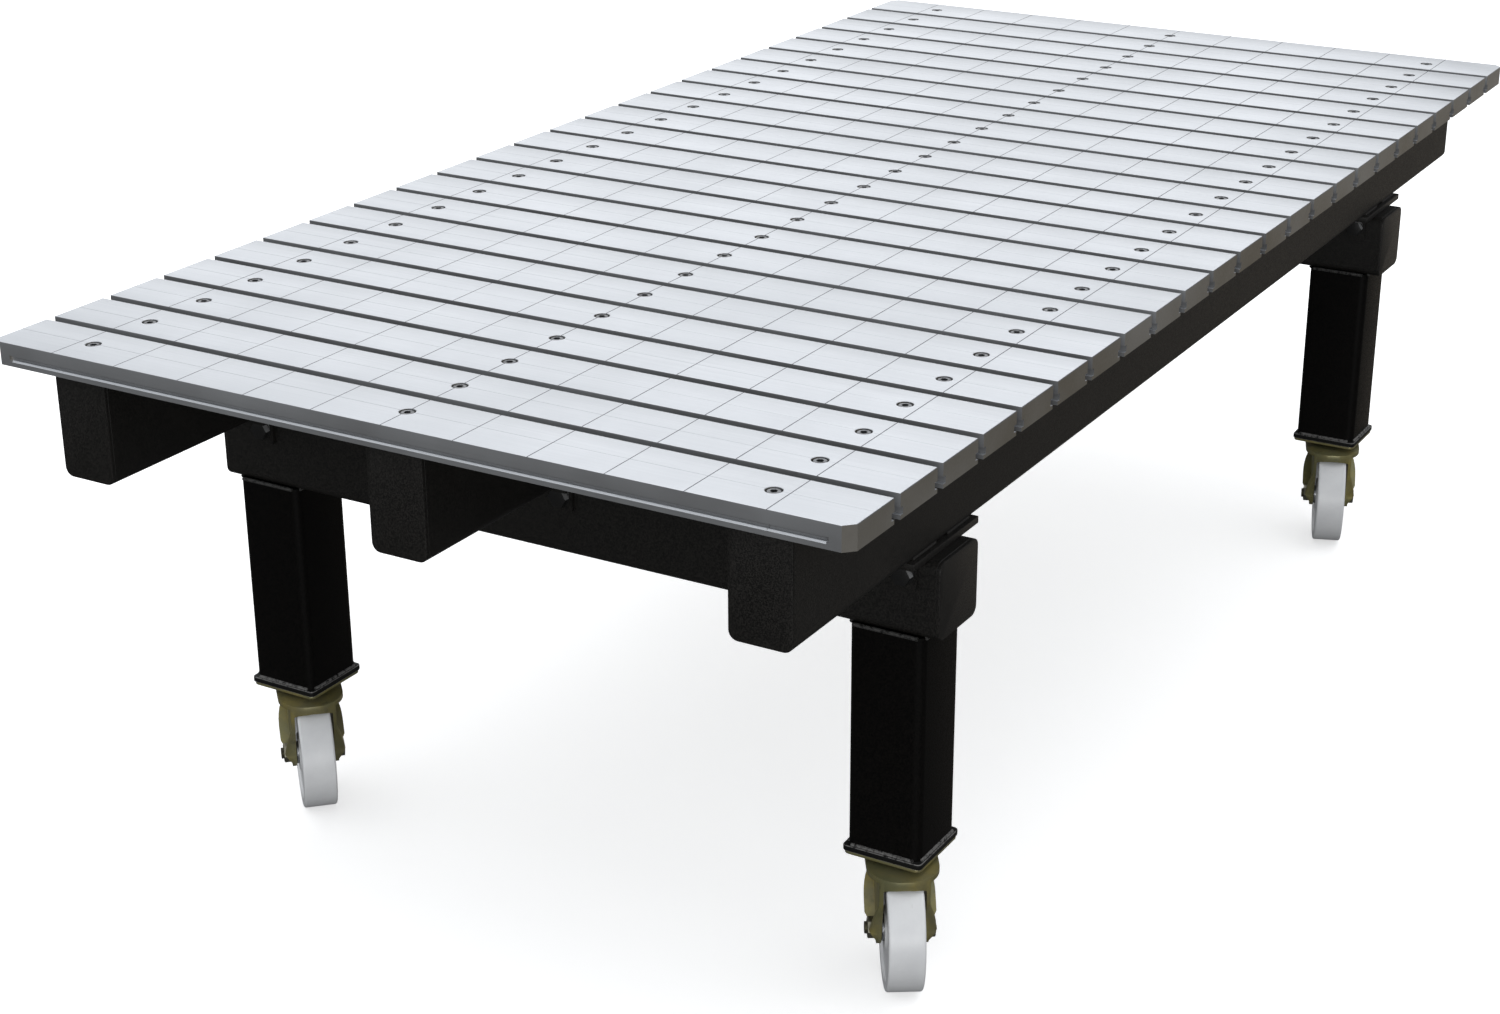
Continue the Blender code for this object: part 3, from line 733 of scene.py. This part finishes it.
def addTube(bm, low, high, axis, closedEnds=True):
    low = Vector(low)
    high = Vector(high)
    verts = addBox(bm, low, high)
    known = set(bm.verts) - set(verts)
    bevelEdges(bm, edgesAlong(verts, axis), tube["corner"], tube["cornerSteps"])
    if not closedEnds:
        return
    normal = Vector((0, 0, 0))
    normal[axis] = 1
    middle = (low + high) / 2
    for end, inward in ((low[axis], 1), (high[axis], -1)):
        seam = end + inward * tube["endPlate"]
        for offset in (-tube["seamWidth"] / 2, 0, tube["seamWidth"] / 2):
            at = middle.copy()
            at[axis] = seam + offset
            geom = [item for item in (*bm.verts, *bm.edges, *bm.faces)
                    if isinstance(item, bmesh.types.BMVert) and item not in known
                    or not isinstance(item, bmesh.types.BMVert) and not known.intersection(item.verts)]
            bmesh.ops.bisect_plane(bm, geom=geom, dist=1e-6, plane_co=at, plane_no=normal)
        ring = [v for v in bm.verts if v not in known and abs(v.co[axis] - seam) < 1e-5]
        shrink = Vector([1 - 2 * tube["seamDepth"] / (high[k] - low[k]) for k in range(3)])
        shrink[axis] = 1
        bmesh.ops.scale(bm, vec=shrink, verts=ring, space=Matrix.Translation(-middle))
        rim = [e for e in bm.edges if not known.intersection(e.verts)
               and all(abs(v.co[axis] - end) < 1e-6 for v in e.verts)]
        bevelEdges(bm, rim, tube["endBreak"], 2)


def addBead(bm, start, end, radius):
    # a row of overlapping ripples from start to end
    v = weldBead
    start = Vector(start)
    end = Vector(end)
    along = (end - start).normalized()
    turn = Vector((0, 0, 1)).rotation_difference(along).to_matrix().to_4x4()
    circle = bmesh.ops.create_circle(bm, cap_ends=True, segments=8, radius=radius,
                                     matrix=Matrix.Translation(start) @ turn)["verts"]
    face = circle[0].link_faces[0]
    steps = max(2, round((end - start).length / v["pitch"] * 2))
    if steps % 2:
        steps += 1
    for step in range(1, steps + 1):
        verts, face = extruded(bm, face)
        bmesh.ops.translate(bm, verts=verts, vec=(end - start) / steps)
        factor = v["swell"] if step % 2 else 1 / v["swell"]
        at = face.calc_center_median()
        bmesh.ops.scale(bm, vec=(factor, factor, factor), verts=verts, space=Matrix.Translation(-at))


longBeam = {"width": 0.080, "height": 0.140, "plateHalf": 0.085, "plateEdge": 0.0012, "plateGap": 0.00005,
            "tongueWidth": 0.064, "tongueThick": 0.005, "tongueRound": 0.008, "tongueLap": 0.001,
            "beadInset": 0.007, "beadSink": 0.0005, "beadEndGap": 0.012, "beadMiddlePart": 0.2}
crossBoxes = {end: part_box(f"cross_beam_{end}") for end in ("front", "back")}


def buildLongBeams():
    v = longBeam
    beads = bmesh.new()
    for side in beamSides:
        node = f"long_beam_{side}"
        low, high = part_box(node)
        y = (low.y + high.y) / 2
        bottom = high.z - v["height"]
        bm = bmesh.new()
        addTube(bm, (low.x, y - v["width"] / 2, bottom), (high.x, y + v["width"] / 2, high.z), 0)
        data = toMesh(bm, node)
        parts = bmesh.new()
        for box in crossBoxes.values():
            x = (box[0].x + box[1].x) / 2
            plate = addBox(parts, (x - v["plateHalf"], low.y, box[1].z + fitGap),
                           (x + v["plateHalf"], high.y, bottom - v["plateGap"]))
            bevelEdges(parts, list({e for p in plate for e in p.link_edges}), v["plateEdge"], 2)
            back = box[0].x - fitGap
            half = v["tongueWidth"] / 2
            top = box[1].z + v["tongueLap"]
            outline = [(y - half, low.z), (y + half, low.z), (y + half, top), (y - half, top)]
            tongue = addSlab(parts, outline, back - v["tongueThick"], back, "X")
            lower = [e for e in {e for t in tongue for e in t.link_edges}
                     if all(t.co.z < low.z + 0.001 for t in e.verts)
                     and abs(e.verts[0].co.y - e.verts[1].co.y) < 1e-6]
            bevelEdges(parts, lower, v["tongueRound"], 4)
            level = bottom + v["beadSink"]
            reach = v["plateHalf"] - v["beadEndGap"]
            inner = reach * v["beadMiddlePart"]
            for sign in (-1, 1):
                beadY = y + sign * (v["width"] / 2 - v["beadInset"])
                for a, b in ((-reach, -inner), (inner, reach)):
                    addBead(beads, (x + a, beadY, level), (x + b, beadY, level), weldBead["radius"])
        addPiece(data, f"longBeam_{side}", beamPaint, "table", [node])
        addPiece(toMesh(parts, "plates"), f"crossingPlates_{side}", beamPaint, "table")
    addPiece(toMesh(beads, "beads"), "crossingWelds", beamPaint, "table")


def buildCrossBeams():
    for end, (low, high) in crossBoxes.items():
        bm = bmesh.new()
        addTube(bm, low, high, 1)
        addPiece(toMesh(bm, "crossBeam"), f"crossBeam_{end}", beamPaint, "table",
                 [f"cross_beam_{end}"])


crossingBolt = {"hexRadius": 0.0136, "headHeight": 0.0100, "chamfer": 0.0014, "washerRadius": 0.0138,
                "washerThick": 0.0016, "washerEdge": 0.0004, "shankRadius": 0.0078, "lap": 0.0002}


def addHexBlock(bm, radius, low, high, chamferTop=True, chamferLow=False, turnDeg=0):
    # a hexagon about Z with its corners turned off towards the ends
    verts = addSlab(bm, arc(0, 0, radius, turnDeg, turnDeg + 300, 5), low, high)
    for wanted, level in ((chamferTop, high), (chamferLow, low)):
        if wanted:
            rim = [e for e in {e for v in verts if v.is_valid for e in v.link_edges}
                   if all(abs(v.co.z - level) < 1e-7 for v in e.verts)]
            bevelEdges(bm, rim, crossingBolt["chamfer"], 2)


def buildCrossingBolts():
    v = crossingBolt
    wide = v["washerRadius"]
    thick = v["washerThick"]
    edge = v["washerEdge"]
    turn = Matrix.Rotation(-math.pi / 2, 4, "Y")
    for end in ("front", "back"):
        for side in beamSides:
            node = f"crossing_bolt_{end}_{side}"
            low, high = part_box(node)
            seat = crossBoxes[end][0].x - fitGap - longBeam["tongueThick"] - fitGap
            bm = bmesh.new()
            addHexBlock(bm, v["hexRadius"], thick - v["lap"], v["headHeight"], turnDeg=30)
            addRoundBar(bm, [(0, 0), (wide - edge, 0), (wide, edge), (wide, thick - edge),
                             (wide - edge, thick), (0, thick)], 40)
            addPin(bm, v["shankRadius"], seat - high.x, 0.001, 24)
            data = toMesh(bm, node)
            centre = Vector((seat, (low.y + high.y) / 2, (low.z + high.z) / 2))
            data.transform(Matrix.Translation(centre) @ turn)
            addPiece(data, f"crossingBolt_{end}_{side}", boltWithPaintedHighlight, "table", [node])


# the wear amounts also set how much painted highlight the plate's edges and the beads get
footPlate = {"legSize": 0.100, "thick": 0.008, "corner": 0.006, "edge": 0.0010, "gap": 0.0001,
             "beadLap": 0.0075, "beadLift": 0.0006, "beadWearHighlight": 0.75, "topBeadWearHighlight": 0.3, "edgeWearHighlight": 0.9}


def addBeadSquare(bm, centre, half, level):
    # a bead along each side of a square tube, stopping short of its rounded corners
    square = [Vector((centre.x + a * half, centre.y + b * half, level))
              for a, b in ((-1, -1), (1, -1), (1, 1), (-1, 1))]
    for a, b in zip(square, square[1:] + square[:1]):
        step = (b - a).normalized() * footPlate["beadLap"]
        addBead(bm, a + step, b - step, weldBead["legRadius"])


def buildLegs():
    v = footPlate
    for corner in corners:
        node = f"leg_{corner}"
        low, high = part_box(node)
        middle = (low + high) / 2
        inset = (high.x - low.x - v["legSize"]) / 2
        footTop = low.z + v["thick"]
        bm = bmesh.new()
        addTube(bm, (low.x + inset, low.y + inset, footTop), (high.x - inset, high.y - inset, high.z), 2,
                closedEnds=False)
        addPiece(toMesh(bm, node), f"legTube_{corner}", legPaintShaded, "table", [node])
        foot = bmesh.new()
        wearAndHighlight = foot.faces.layers.float.new("wearAndHighlight")
        verts = addBox(foot, low, (high.x, high.y, footTop - v["gap"]))
        bevelEdges(foot, edgesAlong(verts, 2), v["corner"], 4)
        bevelEdges(foot, levelEdges(foot), v["edge"], 2)
        foot.normal_update()
        # the marked faces turn bare grey in the shader: part wear, part painted highlight
        for face in foot.faces:
            face[wearAndHighlight] = v["edgeWearHighlight"] if 0.05 < abs(face.normal.z) < 0.95 else 0.0
        for level, amount in ((footTop + v["beadLift"], v["beadWearHighlight"]),
                              (high.z - v["beadLift"], v["topBeadWearHighlight"])):
            known = set(foot.faces)
            addBeadSquare(foot, middle, v["legSize"] / 2, level)
            for face in set(foot.faces) - known:
                face[wearAndHighlight] = amount
        addPiece(toMesh(foot, "foot"), f"footPlate_{corner}", wornPaintHighlight, "table")


buildLongBeams()
buildCrossBeams()
buildCrossingBolts()
buildLegs()
print("frame done")


# Casters, drawn with the swivel axis at the origin and the wheel's axle towards +X

caster = {"plateTop": 0.180, "raceLow": 0.1685, "crownTop": 0.168, "crownLow": 0.163, "inner": 0.0265,
          "web": 0.005, "trail": 0.035, "axleHeight": 0.080, "pinRadius": 0.008, "gap": 0.0003}
forkShape = {"low": 0.040, "halfWidth": 0.045, "reach": 0.079, "endRadius": 0.020, "rim": 0.0045,
             "lip": 0.005, "sideDrop": 0.013, "backDrop": 0.008, "backChamfer": 0.006, "chamferDrop": 0.018,
             "archLow": 0.020, "archFoot": 0.150, "archRise": 0.0065, "archFrom": 0.050, "pocketRoof": 0.002,
             "leanGap": 0.0008, "leanEnd": 0.030, "leanLow": 0.070, "leanHigh": 0.098, "leanOut": 0.050,
             "boreLow": 0.15, "edge": 0.0010}


def stadiumOutline():
    r = forkShape["halfWidth"]
    return arc(caster["trail"], 0, r, -90, 90, 24) + arc(0, 0, r, 90, 270, 24)


def armOutline(inset, top):
    v = forkShape
    crown = caster["crownLow"]
    front = v["reach"] - inset
    back = -v["halfWidth"] + inset
    points = [(back, top), (front, top), (front, crown - v["sideDrop"])]
    points += arc(caster["trail"], caster["axleHeight"], v["endRadius"] - inset, 15, -200, 20)
    points += [(back + v["backChamfer"], crown - v["chamferDrop"]), (back, crown - v["backDrop"])]
    return points


def drawnFork():
    v = forkShape
    far = 0.2
    past = 0.01
    innerY = caster["inner"]
    web = innerY + caster["web"]
    trail = caster["trail"]
    data = slabMesh(stadiumOutline(), v["low"], caster["crownTop"], "Z")
    data = combined(data, slabMesh(armOutline(0, caster["crownTop"] + past), -far, far, "Y"), "INTERSECT")
    inside = v["halfWidth"] - v["lip"]
    spread = math.degrees(math.asin(innerY / inside))
    tunnel = [(-far, -innerY)] + arc(trail, 0, inside, -spread, spread, 16) + [(-far, innerY)]
    data = combined(data, slabMesh(tunnel, 0.0, caster["crownLow"], "Z"))
    angles = [math.radians(a) for a in range(0, 181, 10)]
    arch = [(-innerY, v["archLow"]), (innerY, v["archLow"])]
    arch += [(innerY * math.cos(a), v["archFoot"] + v["archRise"] * math.sin(a)) for a in angles]
    data = combined(data, slabMesh(arch, v["archFrom"], far, "X"))
    pocket = armOutline(v["rim"], caster["crownLow"] - v["pocketRoof"])
    for low, high in ((web, far), (-far, -web)):
        data = combined(data, slabMesh(pocket, low, high, "Y"))
    foot = web + v["leanGap"]
    lean = [(foot, v["leanLow"]), (v["leanOut"], v["leanHigh"]), (far, v["leanHigh"]), (far, v["leanEnd"]),
            (foot, v["leanEnd"])]
    for sign in (-1, 1):
        data = combined(data, slabMesh([(sign * y, z) for y, z in lean], -far, far, "X"))
    bores = bmesh.new()
    pin = caster["pinRadius"] + caster["gap"]
    addPin(bores, pin, v["boreLow"], far, 40)
    addPin(bores, pin, -far, far, 40, "Y", (trail, 0, caster["axleHeight"]))
    data = combined(data, toMesh(bores, "bores"))
    return softened(data, v["edge"], 2, 40)


# the groove round the ball race is given by heights above raceLow
plateShape = {"size": 0.106, "thick": 0.004, "corner": 0.008, "edge": 0.001, "raceRadius": 0.034,
              "raceRound": 0.002, "grooveDepth": 0.0025, "grooveLow": 0.0026, "grooveHigh": 0.0040,
              "raceShoulder": 0.0050, "raceGap": 0.0001, "nutRadius": 0.0124, "nutHeight": 0.0038,
              "pinLap": 0.001, "tipOut": 0.0002}


def drawnCasterPlate():
    v = plateShape
    half = v["size"] / 2
    top = caster["plateTop"]
    under = top - v["thick"]
    bm = bmesh.new()
    verts = addBox(bm, (-half, -half, under), (half, half, top))
    bevelEdges(bm, edgesAlong(verts, 2), v["corner"], 5)
    bevelEdges(bm, levelEdges(bm), v["edge"], 2)
    r = v["raceRadius"]
    low = caster["raceLow"]
    waist = r - v["grooveDepth"]
    race = [(0, low)] + arc(r - v["raceRound"], low + v["raceRound"], v["raceRound"], -90, 0, 4)
    race += [(waist, low + v["grooveLow"]), (waist, low + v["grooveHigh"]), (r, low + v["raceShoulder"])]
    race += [(r, under - v["raceGap"]), (0, under - v["raceGap"])]
    ring = bmesh.new()
    addRoundBar(ring, race, 64)
    nutTop = caster["crownLow"] - caster["gap"]
    nutLow = nutTop - v["nutHeight"]
    addPin(bm, caster["pinRadius"], nutLow - v["tipOut"], low + v["pinLap"], 32)
    addHexBlock(bm, v["nutRadius"], nutLow, nutTop, chamferTop=False, chamferLow=True)
    return toMesh(bm, "plate"), toMesh(ring, "race")


wheelShape = {"radius": 0.080, "half": 0.023, "edge": 0.0032, "bore": 0.0173, "boreBreak": 0.0008,
              "boss": 0.026, "bossEdge": 0.001, "bossSink": 0.0002, "dish": 0.0035, "dishFoot": 0.0006,
              "rimInner": 0.066, "rimEdge": 0.0012}


def drawnWheel():
    v = wheelShape
    half = v["half"]
    floor = half - v["dish"]
    face = half - v["bossSink"]
    bore = v["bore"]
    boss = v["boss"]
    rim = v["rimInner"]
    side = [(bore, half - v["boreBreak"]), (bore + v["boreBreak"], face), (boss - v["bossEdge"], face)]
    side += [(boss, half - v["bossEdge"]), (boss + 0.002, floor + v["dishFoot"]), (boss + 0.004, floor)]
    side += [(rim - 0.004, floor), (rim - 0.0015, floor + 0.0008), (rim, half - 0.0008)]
    side += [(rim + v["rimEdge"], half)]
    side += arc(v["radius"] - v["edge"], half - v["edge"], v["edge"], 90, 8, 7)
    side += [(v["radius"], half - v["edge"] - 0.002)]
    bm = bmesh.new()
    addRoundBar(bm, mirroredProfile(side), 96, "Y")
    return toMesh(bm, "wheel")


bushShape = {"inner": 0.0083, "outer": 0.0169, "gap": 0.0005, "innerBreak": 0.0006, "outerBreak": 0.0008,
             "grooveIn": 0.0130, "grooveOut": 0.0154, "grooveSlope": 0.0004, "grooveDepth": 0.0008}


def drawnBush():
    v = bushShape
    half = caster["inner"] - v["gap"]
    inner = v["inner"]
    outer = v["outer"]
    floor = half - v["grooveDepth"]
    side = [(inner, half - v["innerBreak"]), (inner + v["innerBreak"], half), (v["grooveIn"], half),
            (v["grooveIn"] + v["grooveSlope"], floor), (v["grooveOut"] - v["grooveSlope"], floor),
            (v["grooveOut"], half), (outer - v["outerBreak"], half), (outer, half - v["outerBreak"])]
    bm = bmesh.new()
    addRoundBar(bm, mirroredProfile(side), 48, "Y")
    return toMesh(bm, "bush")


axleShape = {"hexRadius": 0.0136, "headHeight": 0.0100, "nutHeight": 0.0115, "lift": 0.0002,
             "threadFrom": 0.0113, "threadTo": 0.0140, "threadPitch": 0.0010, "threadDepth": 0.0006,
             "tipLength": 0.0006, "tipBreak": 0.0010, "headLap": 0.002}


def drawnAxle():
    # a bolt along Z with its head up and its nut and thread end down, laid along Y at the end
    v = axleShape
    seat = caster["inner"] + caster["web"] + caster["gap"]
    radius = caster["pinRadius"]
    bm = bmesh.new()
    z = -seat - v["threadFrom"]
    turns = [(radius, z)]
    while z > -seat - v["threadTo"]:
        turns += [(radius - v["threadDepth"], z - v["threadPitch"] / 2), (radius, z - v["threadPitch"])]
        z -= v["threadPitch"]
    tip = z - v["tipLength"]
    profile = [(0, tip), (radius - v["tipBreak"], tip)] + list(reversed(turns))
    profile += [(radius, seat + v["headLap"]), (0, seat + v["headLap"])]
    addRoundBar(bm, profile, 32)
    addHexBlock(bm, v["hexRadius"], seat + v["lift"], seat + v["headHeight"])
    addHexBlock(bm, v["hexRadius"], -seat - v["nutHeight"], -seat - v["lift"], chamferLow=True)
    bmesh.ops.rotate(bm, verts=bm.verts, cent=(0, 0, 0), matrix=Matrix.Rotation(-math.pi / 2, 3, "X"))
    return toMesh(bm, "axle")


def buildCasters():
    joints = {joint["name"]: joint for joint in frame["joints"]}
    fork = drawnFork()
    plate, race = drawnCasterPlate()
    wheel = drawnWheel()
    bush = drawnBush()
    axle = drawnAxle()
    for corner in corners:
        pin = Vector(joints[f"swivel_{corner}"]["pos_m"])
        hub = Vector(joints[f"spin_{corner}"]["pos_m"])
        pin.z = 0
        heading = math.atan2(hub.y - pin.y, hub.x - pin.x)
        turn = Matrix.Rotation(heading, 4, "Z")
        onPin = Matrix.Translation(pin)
        onHub = Matrix.Translation(hub) @ turn
        forkBody = f"fork_body_{corner}"
        wheelBody = f"wheel_body_{corner}"
        addPiece(placedCopy(plate, onPin), f"swivelPlate_{corner}", yellowZinc, "table",
                 [f"caster_plate_{corner}"])
        # the race's near black colour is painted shade
        addPiece(placedCopy(race, onPin), f"ballRace_{corner}", raceInPaintedShade, "table")
        addPiece(placedCopy(fork, onPin @ turn), f"pressedFork_{corner}", yellowZinc, forkBody,
                 [f"fork_{corner}"])
        addPiece(placedCopy(axle, onHub), f"axleBolt_{corner}", agedZinc, forkBody,
                 [f"axle_{corner}"])
        addPiece(placedCopy(wheel, onHub), f"nylonWheel_{corner}", whiteNylon, wheelBody,
                 [f"wheel_{corner}"])
        addPiece(placedCopy(bush, onHub), f"wheelBush_{corner}", bushSteel, wheelBody,
                 [f"bush_{corner}"])


buildCasters()
print("casters done")


# Floor, lights and camera

studio = {"floorHalf": 40.0, "floorColour": (0.93, 0.93, 0.93), "floorGlow": 0.56, "strength": 1.0,
          "farGlow": (0.52, 0.46, 0.38), "backdrop": (0.98, 0.98, 0.985), "tint": (0.96, 0.98, 1.0)}
# how bright the room is by the height of a direction above (+) or below (-) the horizon
roomLight = ((0.0, 0.07), (0.46, 0.07), (0.50, 0.30), (0.58, 0.45), (0.70, 0.85), (1.0, 0.85))
softLights = {
    "overhead": {"at": (0.3, 0.2, 4.2), "aim": (0.0, 0.0, 0.0), "size": (5.0, 4.0), "power": 60},
    "farWall": {"at": (5.2, 3.4, 3.0), "aim": (0.4, 0.2, 0.8), "size": (6.0, 2.6), "power": 38},
    "lowFill": {"at": (-8.0, -4.6, 1.1), "aim": (0.0, 0.0, 0.2), "size": (6.0, 1.6), "power": 210},
}
cameraView = {"at": (-3.317, -1.729, 1.780), "aim": (-0.4929, -0.0632, 0.428), "rollDeg": -0.31,
              "lens": 61.82}


def buildFloor():
    bm = bmesh.new()
    bmesh.ops.create_grid(bm, x_segments=8, y_segments=8, size=studio["floorHalf"])
    data = toMesh(bm, "studioFloor", recalc=False)
    material, _, shader = newMaterial("studioFloor", 0.0, 0.8, 0.2)
    shader.inputs["Base Color"].default_value = (*studio["floorColour"], 1.0)
    shader.inputs["Emission Color"].default_value = (*studio["floorColour"], 1.0)
    shader.inputs["Emission Strength"].default_value = studio["floorGlow"]
    data.materials.append(material)
    floor = newObject("studioFloor", data)
    # the pale floor is only a backdrop: it throws no light back up at the black frame
    floor.visible_glossy = False
    floor.visible_diffuse = False


def buildRoom():
    # a bright ceiling over darker surroundings, and a plain pale backdrop for the camera
    world = bpy.data.worlds.new("studio")
    world.use_nodes = True
    tree = world.node_tree
    back = tree.nodes["Background"]
    place = tree.nodes.new("ShaderNodeTexCoord")
    parts = tree.nodes.new("ShaderNodeSeparateXYZ")
    tree.links.new(place.outputs["Generated"], parts.inputs[0])
    height = mathNode(tree, "MULTIPLY_ADD", parts.outputs["Z"], 0.5, 0.5)
    ramp = tree.nodes.new("ShaderNodeValToRGB")
    stops = ramp.color_ramp.elements
    while len(stops) < len(roomLight):
        stops.new(0.5)
    for stop, (at, level) in zip(stops, roomLight):
        stop.position = at
        stop.color = (*[level * part for part in studio["tint"]], 1.0)
    tree.links.new(height, ramp.inputs["Fac"])
    # a warm glow low down at the far end, which the beams' sides mirror at a shallow angle
    low = rangeNode(tree, parts.outputs["Z"], -0.10, 0.0, 1.0, 0.0)
    far = mathNode(tree, "MULTIPLY", low, rangeNode(tree, parts.outputs["X"], 0.80, 1.0))
    room = mixColour(tree, far, ramp.outputs["Color"], studio["farGlow"])
    path = tree.nodes.new("ShaderNodeLightPath")
    seen = mixColour(tree, path.outputs["Is Camera Ray"], room, studio["backdrop"])
    tree.links.new(seen, back.inputs["Color"])
    back.inputs["Strength"].default_value = studio["strength"]
    bpy.context.scene.world = world


def aimed(obj, at, aim, rollDeg=0.0):
    at = Vector(at)
    turn = (Vector(aim) - at).to_track_quat("-Z", "Y").to_matrix().to_4x4()
    obj.matrix_world = Matrix.Translation(at) @ turn @ Matrix.Rotation(math.radians(rollDeg), 4, "Z")


def buildLights():
    for name, values in softLights.items():
        light = bpy.data.lights.new(name, "AREA")
        light.shape = "RECTANGLE"
        light.size, light.size_y = values["size"]
        light.energy = values["power"]
        obj = newObject(name, light)
        obj.visible_camera = False
        aimed(obj, values["at"], values["aim"])


def buildCamera():
    lens = bpy.data.cameras.new("camera")
    lens.sensor_width = 36
    lens.lens = cameraView["lens"]
    lens.clip_end = 200
    camera = newObject("camera", lens)
    aimed(camera, cameraView["at"], cameraView["aim"], cameraView["rollDeg"])
    bpy.context.scene.camera = camera


buildFloor()
buildRoom()
buildLights()
buildCamera()
bpy.context.scene.view_settings.view_transform = "Standard"
print("studio done")
